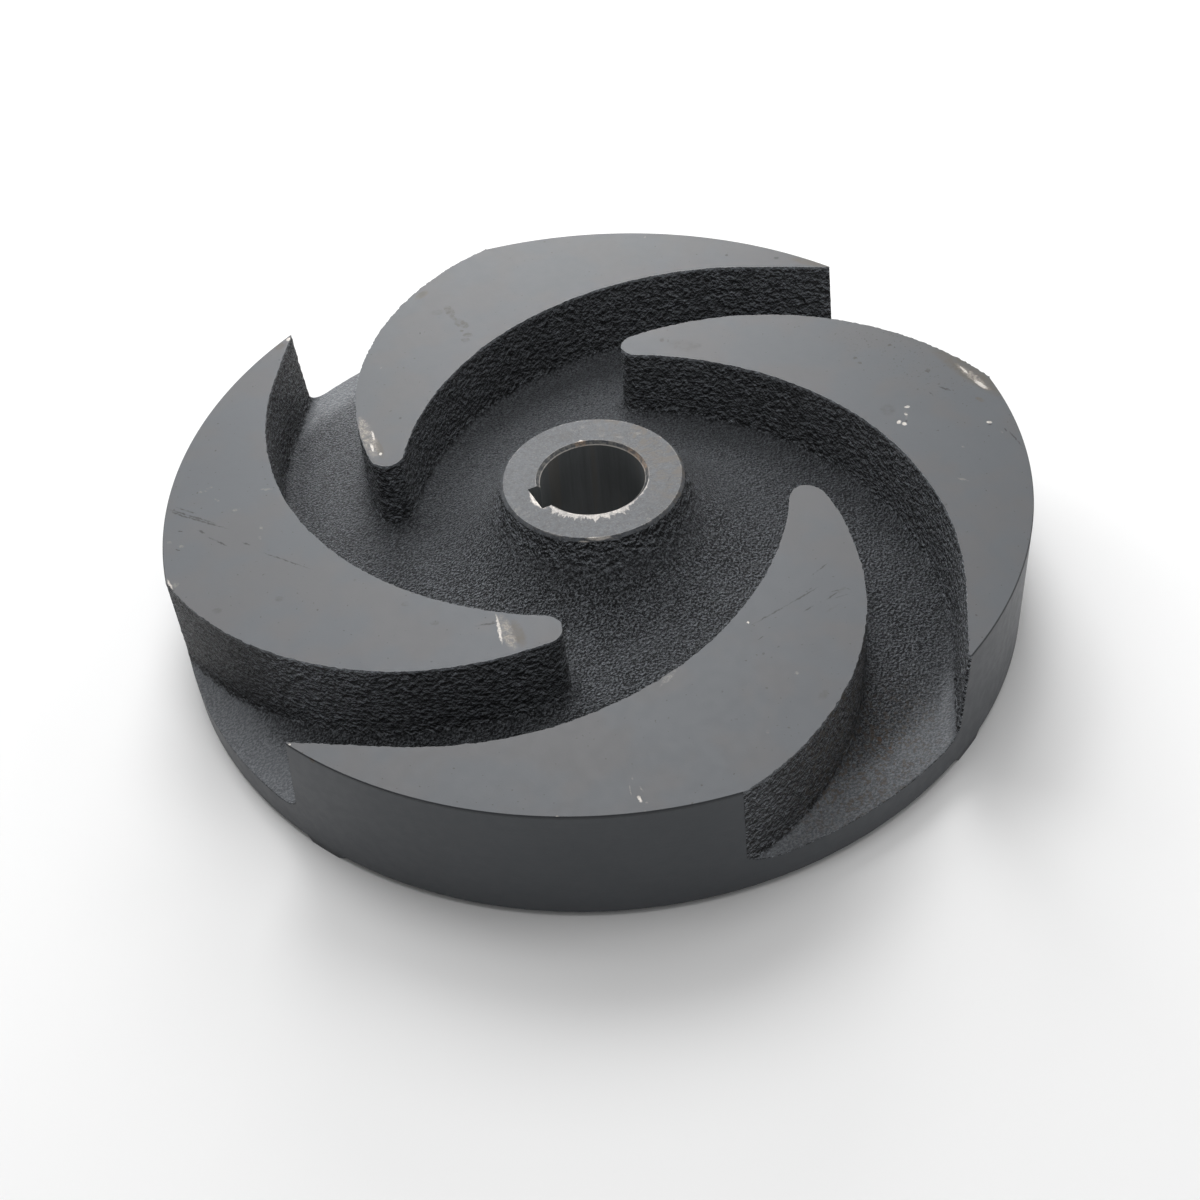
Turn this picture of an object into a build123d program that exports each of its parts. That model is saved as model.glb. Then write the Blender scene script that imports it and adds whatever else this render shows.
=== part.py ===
"""Semi-open pump impeller: one grey-iron casting with four backward-curved
vanes, a solid centre hub, a keyed bore and low pump-out ribs on the back.

Frame: +Z along the shaft axis towards the vanes, origin on the axis in the
plane that the back ribs and back boss stand on, keyway towards -X. Units mm.
"""

import os
from math import atan2, cos, degrees, hypot, radians, sin, sqrt, tan

from build123d import *

# --- turned sizes -----------------------------------------------------------
rim_r = 130.0  # outside radius, turned after casting
vane_top_z = 42.7  # faced front of the vanes
hub_face_z = 42.4  # faced front of the hub, a touch below the vanes
hub_face_r = 28.0  # turned edge of the hub
hub_edge = 0.9  # chamfer on the hub's front edge
rim_edge = 0.3  # edge broken where the rim meets the vane tops
tip_edge_r = 0.4  # vane tips are blunted by this radius
bore_r = 16.0
bore_chamfer = 1.1
keyway_width = 10.0
keyway_bottom = 19.3  # keyway floor, measured from the axis
keyway_angle = 180.0

# --- cast shroud and hub ----------------------------------------------------
shroud_back_z = 2.0  # back face of the shroud disc
shroud_rim_z = 11.8  # front of the shroud at the rim
shroud_in_r, shroud_in_z = 62.0, 18.0  # front of the shroud at the vane noses
hub_draft = 14.0  # slope of the hub's side, degrees from the axis
hub_sweep_r = 28.0  # hollow that carries the hub into the shroud
back_boss_r = 36.0
back_boss_slope = 15.0
root_fillet = 4.0  # vane walls to shroud

# --- vane outline, seen from the front, tip on the rim at angle 0 ------------
vane_count = 4
vane_tip_angle = 23.7  # first tip, from +X
face_arc_r = 101.75  # concave face
face_arc_at = (42.91, -46.98)  # its centre: distance from the axis, angle
face_arc_start = 32.72  # where the straight run to the tip takes over
back_arc_r = 90.5  # convex back
back_arc_at = (51.67, 23.75)
nose_r = 5.5
face_draft = 2.0
back_draft = 0.5
vane_root_z = 6.0  # buried inside the shroud

# --- pump-out ribs on the back, under the concave faces ---------------------
rib_width = 7.0
rib_offset = 2.7  # rib centreline behind the concave face
rib_slope = 26.0

stock_r = 136.0  # rim of the raw casting, before turning


def polar(distance, angle, centre=(0.0, 0.0)):
    a = radians(angle)
    return (centre[0] + distance * cos(a), centre[1] + distance * sin(a))


def angle_to(point, centre):
    return degrees(atan2(point[1] - centre[1], point[0] - centre[0]))


face_c = polar(*face_arc_at)
back_c = polar(*back_arc_at)


def nose_centre(r_face, r_back, r_nose):
    """Centre of the nose arc: outside the face arc, inside the back arc."""
    gap = hypot(back_c[0] - face_c[0], back_c[1] - face_c[1])
    lean = angle_to(back_c, face_c)
    along = ((r_face + r_nose) ** 2 - (r_back - r_nose) ** 2 + gap**2) / (2 * gap)
    across = sqrt((r_face + r_nose) ** 2 - along**2)
    return polar(across, lean + 90, polar(along, lean, face_c))


def run_out(radius, length):
    """Start and end of the straight run tangent to an arc about face_c."""
    start = polar(radius, face_arc_start, face_c)
    return start, polar(length, face_arc_start - 90, start)


# one vane, drafted so that its root is wider than its top, and overrunning the rim
with BuildPart() as vane:
    for z in (vane_root_z, vane_top_z):
        r_face = face_arc_r - (vane_top_z - z) * tan(radians(face_draft))
        r_back = back_arc_r + (vane_top_z - z) * tan(radians(back_draft))
        r_nose = nose_r + (r_back - back_arc_r + face_arc_r - r_face) / 2
        nose_c = nose_centre(r_face, r_back, r_nose)
        from_face, from_back = angle_to(nose_c, face_c), angle_to(nose_c, back_c)
        start, end = run_out(r_face, 52)
        far = polar(r_back, 30, back_c)
        with BuildSketch(Plane.XY.offset(z)):
            with BuildLine():
                Polyline(end, (162, 10), far)
                CenterArc(back_c, r_back, 30, (from_back - 30) % 360)
                CenterArc(nose_c, r_nose, from_back, (from_face + 180 - from_back) % 360)
                CenterArc(face_c, r_face, from_face, face_arc_start - from_face)
                Line(start, end)
            make_face()
    loft(ruled=True)

# one pump-out rib, wide at the shroud and narrow where it stands
with BuildPart() as rib:
    for z, half in (
        (0.0, rib_width / 2 - shroud_back_z * tan(radians(rib_slope))),
        (shroud_back_z, rib_width / 2),
    ):
        middle = face_arc_r + rib_offset
        inner_end = angle_to(nose_centre(face_arc_r, back_arc_r, nose_r), face_c)
        arc = inner_end - face_arc_start
        inner, inner_far = run_out(middle - half, 50)
        outer, outer_far = run_out(middle + half, 50)
        with BuildSketch(Plane.XY.offset(z)):
            with BuildLine():
                Line(inner_far, outer_far)
                Line(outer_far, outer)
                CenterArc(face_c, middle + half, face_arc_start, arc)
                CenterArc(polar(middle, inner_end, face_c), half, inner_end, 180)
                CenterArc(face_c, middle - half, inner_end, -arc)
                Line(inner, inner_far)
            make_face()
    loft(ruled=True)

with BuildPart() as impeller:
    # raw shroud and hub
    cone = (shroud_in_z - shroud_rim_z) / (rim_r - shroud_in_r)
    stock_z = shroud_rim_z - cone * (stock_r - rim_r)
    side = tan(radians(hub_draft))
    side_z = hub_face_z - hub_edge
    # corner where the drafted hub side would meet the conical shroud front
    corner_r = (hub_face_r + (side_z - shroud_in_z - cone * shroud_in_r) * side) / (1 - cone * side)
    corner_z = shroud_in_z + cone * (shroud_in_r - corner_r)
    with BuildSketch(Plane.XZ):
        with BuildLine():
            Polyline(
                (0, shroud_back_z),
                (stock_r, shroud_back_z),
                (stock_r, stock_z),
                (corner_r, corner_z),
                (hub_face_r, side_z),
                (hub_face_r - hub_edge, hub_face_z),
                (0, hub_face_z),
                close=True,
            )
        profile = make_face()
        fillet(profile.vertices().sort_by_distance((corner_r, 0, corner_z))[0], hub_sweep_r)
    revolve(axis=Axis.Z)

    # vanes, trimmed to the raw rim and blended into the shroud
    with PolarLocations(0, vane_count, start_angle=vane_tip_angle):
        add(vane.part)
    with BuildSketch(Plane.XY):
        Circle(stock_r)
    extrude(amount=vane_top_z, mode=Mode.INTERSECT)
    roots = (
        impeller.edges()
        .filter_by_position(Axis.Z, shroud_rim_z - 1, shroud_in_z + 2)
        .filter_by(lambda e: e.geom_type not in (GeomType.CIRCLE, GeomType.LINE))
    )
    fillet(roots, root_fillet)

    # back boss and pump-out ribs
    with BuildSketch(Plane.XY.offset(shroud_back_z)):
        Circle(back_boss_r)
    extrude(amount=-shroud_back_z, taper=back_boss_slope)
    with PolarLocations(0, vane_count, start_angle=vane_tip_angle):
        add(rib.part)

    # rim turned to size, tips blunted, edge broken where the rim meets the vane tops
    with BuildSketch(Plane.XY):
        Circle(rim_r)
    extrude(amount=vane_top_z, mode=Mode.INTERSECT)
    tips = [polar(rim_r, vane_tip_angle + n * 360 / vane_count) for n in range(vane_count)]
    tall = impeller.edges().filter_by(lambda e: e.bounding_box().size.Z > 20 and e.bounding_box().max.Z > vane_top_z - 0.1)
    blunt = [tall.sort_by_distance((x, y, 30))[0] for x, y in tips]
    fillet(blunt, tip_edge_r)
    with BuildSketch(Plane.XZ):
        with BuildLine():
            Polyline(
                (rim_r - rim_edge - 1, vane_top_z + 1),
                (rim_r + 1, vane_top_z - rim_edge - 1),
                (rim_r + 1, vane_top_z + 1),
                close=True,
            )
        make_face()
    revolve(axis=Axis.Z, mode=Mode.SUBTRACT)

    # bore, chamfered at both ends, and keyway
    with BuildSketch(Plane.XY):
        Circle(bore_r)
    extrude(amount=hub_face_z, mode=Mode.SUBTRACT)
    mouths = impeller.edges().filter_by(GeomType.CIRCLE).filter_by(lambda e: abs(e.radius - bore_r) < 0.01)
    chamfer(mouths, bore_chamfer)
    with BuildSketch(Plane.XY):
        with Locations(Location((0, 0, 0), (0, 0, keyway_angle))):
            Rectangle(keyway_bottom, keyway_width, align=(Align.MIN, Align.CENTER))
    extrude(amount=hub_face_z, mode=Mode.SUBTRACT)

os.makedirs("parts", exist_ok=True)
impeller.part.label = "impeller"
export_step(impeller.part, "parts/impeller.step")

print("valid", impeller.part.is_valid, "solids", len(impeller.solids()), "faces", len(impeller.faces()), "volume", round(impeller.part.volume))
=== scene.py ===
import math

import bpy
import numpy as np
from mathutils import Matrix, Vector
from mathutils.geometry import delaunay_2d_cdt
from mathutils.kdtree import KDTree


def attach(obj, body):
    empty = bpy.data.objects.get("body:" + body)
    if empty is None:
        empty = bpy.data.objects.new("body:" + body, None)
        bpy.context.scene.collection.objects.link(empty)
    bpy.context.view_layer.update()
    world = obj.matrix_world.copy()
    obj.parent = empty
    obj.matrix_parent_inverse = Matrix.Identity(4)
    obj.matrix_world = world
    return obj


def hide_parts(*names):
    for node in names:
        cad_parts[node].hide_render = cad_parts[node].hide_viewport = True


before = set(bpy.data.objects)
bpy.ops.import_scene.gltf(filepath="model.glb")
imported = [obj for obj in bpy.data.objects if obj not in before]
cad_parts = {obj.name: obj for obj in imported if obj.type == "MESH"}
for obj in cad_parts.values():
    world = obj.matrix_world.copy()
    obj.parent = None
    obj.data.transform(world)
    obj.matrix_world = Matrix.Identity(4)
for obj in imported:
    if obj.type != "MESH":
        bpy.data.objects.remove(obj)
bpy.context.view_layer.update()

rad = math.radians

# =============================================================================
# The casting's own sizes, in millimetres, as in the construction.
# =============================================================================
RIM_R, TOP_Z, HUB_Z, HUB_R, HUB_EDGE = 130.0, 42.7, 42.4, 28.0, 0.9
RIM_EDGE, ROUND = 0.3, 0.4
BORE_R, BORE_EDGE, KEY_HALF, KEY_X = 16.0, 1.1, 5.0, -19.3
BACK_Z, BOSS_R = 2.0, 36.0
BOSS_FOOT = BOSS_R - BACK_Z * math.tan(rad(15.0))
CONE = (18.0 - 11.8) / (130.0 - 62.0)
FILLET = 4.0
TIP_ANGLE = 23.7
FACE_R, BACK_R, NOSE_R = 101.75, 90.5, 5.5
FACE_DRAFT, BACK_DRAFT = math.tan(rad(2.0)), math.tan(rad(0.5))
RIB_HALF, RIB_FOOT, RIB_BEHIND = 3.5, 3.5 - BACK_Z * math.tan(rad(26.0)), 2.7

STEP = 0.86  # mesh spacing on the vane walls
FLOOR_STEP = 1.3  # and on the shroud


def unit(a):
    return np.array([math.cos(a), math.sin(a)])


# profile of the hub side and the shroud front
SIDE = math.tan(rad(14.0))
SIDE_Z = HUB_Z - HUB_EDGE
CORNER_R = (HUB_R + (SIDE_Z - 18.0 - CONE * 62.0) * SIDE) / (1 - CONE * SIDE)
CORNER_Z = 18.0 + CONE * (62.0 - CORNER_R)
SWEEP = 28.0
TURN = math.pi / 2 - rad(14.0) - math.atan(CONE)
_back = SWEEP * math.tan(TURN / 2)
SWEEP_IN = (CORNER_R - _back * math.sin(rad(14.0)), CORNER_Z + _back * math.cos(rad(14.0)))
SWEEP_C = (SWEEP_IN[0] + SWEEP * math.cos(rad(14.0)), SWEEP_IN[1] + SWEEP * math.sin(rad(14.0)))
SWEEP_OUT = SWEEP_C[0] - SWEEP * math.sin(math.atan(CONE))
FLANK = math.hypot(SWEEP_IN[0] - HUB_R, SIDE_Z - SWEEP_IN[1])


def shroud(r):
    """Height and slope of the cast front at distance r from the axis."""
    r = np.asarray(r, float)
    d = np.clip(r - SWEEP_C[0], -SWEEP * 0.9999, SWEEP * 0.9999)
    arc = np.sqrt(SWEEP**2 - d**2)
    z = np.where(r < SWEEP_IN[0], SIDE_Z - (r - HUB_R) / SIDE, np.where(r < SWEEP_OUT, SWEEP_C[1] - arc, 18.0 + CONE * (62.0 - r)))
    s = np.where(r < SWEEP_IN[0], -1 / SIDE, np.where(r < SWEEP_OUT, d / arc, -CONE))
    return z, s


def along_profile(r):
    """Distance measured down the profile from the hub's edge, plus the hub's radius."""
    r = np.asarray(r, float)
    d = np.clip((SWEEP_C[0] - r) / SWEEP, -1, 1)
    arc = SWEEP * (rad(76.0) - np.arcsin(d))
    end = SWEEP * TURN
    run = np.where(r < SWEEP_IN[0], (r - HUB_R) / math.sin(rad(14.0)), np.where(r < SWEEP_OUT, FLANK + arc, FLANK + end + (r - SWEEP_OUT) / math.cos(math.atan(CONE))))
    return HUB_R + run


TABLE_R = np.concatenate([np.linspace(HUB_R, SWEEP_IN[0], 20), np.linspace(SWEEP_IN[0] + 0.01, 140, 3000)])
TABLE_S = along_profile(TABLE_R)

# vane outline seen from the front, its tip on the rim at angle 0
FACE_C = 42.91 * unit(rad(-46.98))
BACK_C = 51.67 * unit(rad(23.75))
START = rad(32.72)
_gap = BACK_C - FACE_C
_g = math.hypot(*_gap)
_lean = math.atan2(_gap[1], _gap[0])
_along = ((FACE_R + NOSE_R) ** 2 - (BACK_R - NOSE_R) ** 2 + _g**2) / (2 * _g)
_across = math.sqrt((FACE_R + NOSE_R) ** 2 - _along**2)
NOSE_C = FACE_C + _along * unit(_lean) + _across * unit(_lean + math.pi / 2)
FROM_FACE = math.atan2(*(NOSE_C - FACE_C)[::-1])
FROM_BACK = math.atan2(*(NOSE_C - BACK_C)[::-1]) % (2 * math.pi)
BACK_0 = rad(62.0)
NOSE_TURN = (FROM_FACE + math.pi - FROM_BACK) % (2 * math.pi)
L1 = BACK_R * (FROM_BACK - BACK_0)
L2 = L1 + NOSE_R * NOSE_TURN
L3 = L2 + FACE_R * (FROM_FACE - START)
L4 = L3 + 52.0
RUN_0 = FACE_C + FACE_R * unit(START)
RUN_D = unit(START - math.pi / 2)


def outline(t):
    """Points of the outline, its outward normal, and how far round the nose it is (0 back, 1 face)."""
    t = np.asarray(t, float)
    a1 = BACK_0 + t / BACK_R
    a2 = FROM_BACK + (t - L1) / NOSE_R
    a3 = FROM_FACE - (t - L2) / FACE_R
    cs = lambda a: np.stack([np.cos(a), np.sin(a)], -1)
    p1, p2, p3 = BACK_C + BACK_R * cs(a1), NOSE_C + NOSE_R * cs(a2), FACE_C + FACE_R * cs(a3)
    p4 = RUN_0 + (t - L3)[:, None] * RUN_D
    q = [(t < L1)[:, None], (t < L2)[:, None], (t < L3)[:, None]]
    p = np.where(q[0], p1, np.where(q[1], p2, np.where(q[2], p3, p4)))
    n = np.where(q[0], cs(a1), np.where(q[1], cs(a2), np.where(q[2], -cs(a3), -unit(START) + 0 * p4)))
    return p, n, np.clip((t - L1) / (L2 - L1), 0, 1)


# =============================================================================
# Noise for the cast skin: gradient noise on a lattice, the same on every run.
# =============================================================================
_rng = np.random.RandomState(11)
_perm = np.tile(_rng.permutation(256), 2)
_grad = _rng.normal(size=(256, 3))
_grad /= np.linalg.norm(_grad, axis=1)[:, None]


def perlin(p):
    f = np.floor(p)
    i = f.astype(int) & 255
    d = p - f
    u = d * d * d * (d * (d * 6 - 15) + 10)
    out = np.zeros(len(p))
    for cx in (0, 1):
        wx = u[:, 0] if cx else 1 - u[:, 0]
        hx = _perm[(i[:, 0] + cx) & 255]
        for cy in (0, 1):
            wy = u[:, 1] if cy else 1 - u[:, 1]
            hy = _perm[(hx + i[:, 1] + cy) & 255]
            for cz in (0, 1):
                wz = u[:, 2] if cz else 1 - u[:, 2]
                g = _grad[_perm[(hy + i[:, 2] + cz) & 255]]
                out += wx * wy * wz * ((d - (cx, cy, cz)) * g).sum(1)
    return out * 1.6


def skin(x, rough):
    """How far the sand stood proud of the pattern, in mm; rough is 1 on the vane walls."""
    p = np.asarray(x, float)
    fine = perlin(p / 1.9 + 31.7)
    mid = perlin(p / 3.4 + 7.3)
    broad = perlin(p / 17.0 + 3.1)
    lumps = np.clip(perlin(p / 2.6 + 91.0), 0, 1) ** 2
    return rough * (0.26 * fine + 0.15 * mid + 0.34 * lumps) + 0.16 * broad * np.clip(rough, 0.4, 1)


# =============================================================================
# Surfaces. Every shared edge is worked out once and used by both neighbours.
# =============================================================================
verts, faces, groups = [], [], []
count = 0
CAST, RIM, TOP, EDGE, HUB, HUBEDGE, MOUTH, BORE, KEY_A, KEY_B, KEY_F, BACK, RIBSIDE, CREST, BOSSIDE, BOSS, MOUTH2 = range(17)
TOPS = [17, 18, 19, 20]  # one for each vane's ground top


def put(points):
    """Adds points and gives their indices."""
    global count
    points = np.asarray(points, float).reshape(-1, 3)
    verts.append(points)
    first, count = count, count + len(points)
    return np.arange(first, count)


def grid_faces(ids, group):
    """Two triangles for each cell of a 2-D array of indices, cut along alternate diagonals."""
    a, b, c, d = ids[:-1, :-1].ravel(), ids[:-1, 1:].ravel(), ids[1:, 1:].ravel(), ids[1:, :-1].ravel()
    odd = (np.add.outer(np.arange(ids.shape[0] - 1), np.arange(ids.shape[1] - 1)) % 2).ravel().astype(bool)
    t1 = np.where(odd[:, None], np.stack([a, b, c], 1), np.stack([a, b, d], 1))
    t2 = np.where(odd[:, None], np.stack([a, c, d], 1), np.stack([b, c, d], 1))
    for t in (t1, t2):
        faces.append(t)
        groups.append(np.full(len(t), group))


def fill(flat, ids, loops, inner, group, hole=None):
    """Triangulates a flat region: flat holds the 2-D place of each boundary point, ids its vertex, loops the closed loops as index lists, inner extra points as (2-D, vertex ids)."""
    pts = [Vector((float(x), float(y))) for x, y in flat]
    extra, extra_ids = inner if inner else (np.zeros((0, 2)), np.zeros(0, int))
    pts += [Vector((float(x), float(y))) for x, y in extra]
    every = np.concatenate([ids, extra_ids]).astype(int)
    edges = [(lp[i], lp[(i + 1) % len(lp)]) for lp in loops for i in range(len(lp))]
    v, _, f, ov, _, _ = delaunay_2d_cdt(pts, edges, [], 1, 1e-7)
    back = np.array([o[0] if o else -1 for o in ov])
    tri = np.array([t for t in f if len(t) == 3], int).reshape(-1, 3)
    if hole is not None and len(tri):
        xy = np.array([(p[0], p[1]) for p in v])
        tri = tri[~hole(xy[tri].mean(1))]
    tri = back[tri]
    if (tri < 0).any():
        print("WARNING: new point in fill, group", group, int((tri < 0).any(1).sum()))
        tri = tri[(tri >= 0).all(1)]
    faces.append(every[tri])
    groups.append(np.full(len(tri), group))


def hexes(lo, hi, h):
    ys = np.arange(lo[1], hi[1], h * 0.866)
    xs = np.arange(lo[0], hi[0], h)
    x, y = np.meshgrid(xs, ys)
    x = x + (np.arange(len(ys)) % 2)[:, None] * h / 2
    return np.stack([x.ravel(), y.ravel()], 1)


def clear_of(points, boundary, gap):
    tree = KDTree(len(boundary))
    for i, (x, y) in enumerate(boundary):
        tree.insert((x, y, 0), i)
    tree.balance()
    return np.array([tree.find((x, y, 0))[2] > gap for x, y in points])


def turned(p, angle):
    c, s = math.cos(angle), math.sin(angle)
    p = np.asarray(p, float)
    out = p.copy()
    out[..., 0], out[..., 1] = p[..., 0] * c - p[..., 1] * s, p[..., 0] * s + p[..., 1] * c
    return out


# --- vanes: walls and their root fillets -------------------------------------
N_WALL, N_FILLET, N_ROUND = 29, 7, 4
ROWS = N_WALL + N_FILLET
VANE = [rad(TIP_ANGLE + 90 * k) for k in range(4)]

# how each vane's ground wall departs from the pattern: (mm along the outline, mm out)
PLACE = [
    [(0, 0.05), (38, -0.1), (56, -0.3), (74, -0.4), (90, -0.45), (120, -0.3), (146, -0.2), (170, -0.3), (190, -0.3), (206, -0.1), (230, -0.1), (250, 0.1), (290, 0.1), (310, 0), (338, -0.15)],
    [(0, -0.2), (50, -0.1), (80, 0.1), (105, 0.35), (134, 0.25), (141, 0.18), (144, 0.35), (147, 0.7), (150, 1.0), (152.5, 1.15), (156, 0.5), (159, 0.2), (190, 0.25), (210, 0.1), (240, 0), (290, 0.1), (305, -0.15), (326, -0.45), (345, -0.45)],
    [(0, 0), (24, 0.3), (50, 0.1), (74, 0), (98, -0.25), (122, -0.55), (135, -0.1), (147, -0.2), (153, 0.25), (158, 0.0), (180, 0.1), (206, 0.35), (225, 0.1), (250, 0), (278, -0.2), (300, 0), (338, 0.25)],
    [(0, -0.15), (62, -0.05), (90, -0.1), (115, 0), (146, -0.2), (160, -0.25), (180, -0.1), (215, -0.25), (230, -0.35), (254, -0.15), (275, 0.1), (300, 0.05), (338, 0.1)],
]
EXTRA_DRAFT = [[(0, 0)], [(0, 0)], [(295, 0), (335, 0.03)], [(0, 0)]]


def spread(table, t):
    a = np.array(table, float)
    return np.interp(t, a[:, 0], a[:, 1])


def section(k, t):
    p, n, w = outline(t)
    out = spread(PLACE[k], t)
    tan = BACK_DRAFT + (FACE_DRAFT - BACK_DRAFT) * w + spread(EXTRA_DRAFT[k], t)
    z = np.full(len(t), 17.0)
    for _ in range(7):
        x = out + (TOP_Z - z) * tan
        z = shroud(np.hypot(*(p + n * x[:, None]).T))[0]
    e = 0.6
    slope = (shroud(np.hypot(*(p + n * (x + e)[:, None]).T))[0] - shroud(np.hypot(*(p + n * (x - e)[:, None]).T))[0]) / (2 * e)
    lw, lf = np.hypot(1, tan), np.hypot(1, slope)
    nw = np.stack([1 / lw, tan / lw], -1)
    nf = np.stack([-slope / lf, 1 / lf], -1)
    det = nw[:, 0] * nf[:, 1] - nw[:, 1] * nf[:, 0]
    cx = x + FILLET * (nf[:, 1] - nw[:, 1]) / det
    cz = z + FILLET * (nw[:, 0] - nf[:, 0]) / det
    return p, n, out, tan, nw, nf, cx, cz


def row(k, t, j):
    """Points and normals of row j of vane k's wall (0 the top edge, ROWS the foot of the fillet)."""
    p, n, out, tan, nw, nf, cx, cz = section(k, t)
    zw = cz - FILLET * nw[:, 1]
    if j <= N_WALL:
        z = TOP_Z + (zw - TOP_Z) * (j / N_WALL)
        x = out + (TOP_Z - z) * tan
        m = nw
    else:
        f = (j - N_WALL) / N_FILLET
        a = (1 - f) * np.arctan2(nw[:, 1], nw[:, 0]) + f * np.arctan2(nf[:, 1], nf[:, 0])
        m = np.stack([np.cos(a), np.sin(a)], -1)
        x, z = cx - FILLET * m[:, 0], cz - FILLET * m[:, 1]
    q = p + n * x[:, None]
    if j == ROWS:
        z = shroud(np.hypot(*q.T))[0]
    return np.column_stack([q, z]), np.column_stack([n * m[:, :1], m[:, 1]])


def crossing(k, j, last):
    """Place along the outline where the rounded edge leaves row j for the rim."""
    t = np.arange(L4 - 75, L4, 0.25) if last else np.arange(0, 60, 0.25)
    x, n = row(k, t, j)
    c = np.hypot(x[:, 0] - ROUND * n[:, 0], x[:, 1] - ROUND * n[:, 1]) - (RIM_R - ROUND)
    i = int(np.nonzero(c > 0)[0][0]) - 1 if last else int(np.nonzero(c < 0)[0][0]) - 1
    return t[i] + (t[i + 1] - t[i]) * (-c[i]) / (c[i + 1] - c[i])


walls, wall_x, wall_n, wall_d = [], [], [], []
for k in range(4):
    lo = [crossing(k, j, False) for j in range(ROWS + 1)]
    hi = [crossing(k, j, True) for j in range(ROWS + 1)]
    n_col = int(round((hi[0] - lo[0]) / STEP))
    s = np.linspace(0, 1, n_col + 1)
    xs, ns = zip(*(row(k, lo[j] + (hi[j] - lo[j]) * s, j) for j in range(ROWS + 1)))
    x, n = turned(np.array(xs), VANE[k]), turned(np.array(ns), VANE[k])
    rough = np.ones((ROWS + 1, n_col + 1))
    rough[N_WALL:] = np.linspace(1, 0.45, N_FILLET + 1)[:, None]
    rough[:4] = np.array([0.4, 0.6, 0.8, 0.9])[:, None]
    d = skin(x.reshape(-1, 3), rough.ravel()).reshape(x.shape[:2])
    d[0] += _rng.uniform(-0.26, 0.20, n_col + 1) * np.where(np.arange(n_col + 1) % 3 == 0, 1, 0.6)  # the ground edge breaks out between sand grains
    moved = x + n * d[..., None]
    moved[0, :, 2] = TOP_Z
    wall_x.append(x), wall_n.append(n), wall_d.append(d)
    ids = put(moved).reshape(x.shape[:2])
    walls.append(ids)
    grid_faces(ids, CAST)

# --- channel mouths: the small round between the cast faces and the turned rim ---
mouths, floor_arcs = [], []
ARC_R = RIM_R - ROUND + ROUND * CONE / math.hypot(1, CONE)
for k in range(4):
    nxt = (k + 1) % 4
    a0 = math.atan2(*wall_x[k][ROWS, 0, 1::-1])
    a1 = math.atan2(*wall_x[nxt][ROWS, -1, 1::-1])
    a1 = a0 + (a1 - a0) % (2 * math.pi)
    a = np.linspace(a0, a1, int(round((a1 - a0) * ARC_R / (STEP * 1.05))) + 1)[1:-1]
    fx = np.column_stack([ARC_R * np.cos(a), ARC_R * np.sin(a), np.full(len(a), shroud(ARC_R)[0])])
    ln = math.hypot(1, CONE)
    fn = np.column_stack([np.cos(a) * CONE / ln, np.sin(a) * CONE / ln, np.full(len(a), 1 / ln)])
    fd = skin(fx, np.full(len(a), 0.30))
    arc = put(fx + fn * fd[:, None])
    floor_arcs.append((arc, fx))
    base = np.concatenate([wall_x[k][:, 0], fx, wall_x[nxt][::-1, -1]])
    norm = np.concatenate([wall_n[k][:, 0], fn, wall_n[nxt][::-1, -1]])
    disp = np.concatenate([wall_d[k][:, 0], fd, wall_d[nxt][::-1, -1]])
    first = np.concatenate([walls[k][:, 0], arc, walls[nxt][::-1, -1]])
    centre = base - ROUND * norm
    out = centre.copy()
    out[:, 2] = 0
    out /= np.linalg.norm(out, axis=1)[:, None]
    cosw = np.clip((norm * out).sum(1), -1, 1)
    w = np.arccos(cosw)
    cols = [first]
    for q in range(1, N_ROUND + 1):
        f = q / N_ROUND
        way = (np.sin((1 - f) * w)[:, None] * norm + np.sin(f * w)[:, None] * out) / np.sin(w)[:, None]
        shift = disp[:, None] * (norm - f * cosw[:, None] * out)
        x = centre + ROUND * way + shift
        r = np.hypot(x[:, 0], x[:, 1])
        want = np.where(q == N_ROUND, RIM_R, np.minimum(r, RIM_R - 0.02 * (N_ROUND - q)))
        x[:, :2] *= (want / r)[:, None]
        for e in (0, len(x) - 1):  # under the broken edge round the vane tops
            x[e, 2] = min(TOP_Z, TOP_Z - RIM_EDGE + (RIM_R - want[e]))
        cols.append(put(x))
    ids = np.stack(cols)
    mouths.append(ids)
    grid_faces(ids, CAST)

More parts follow.
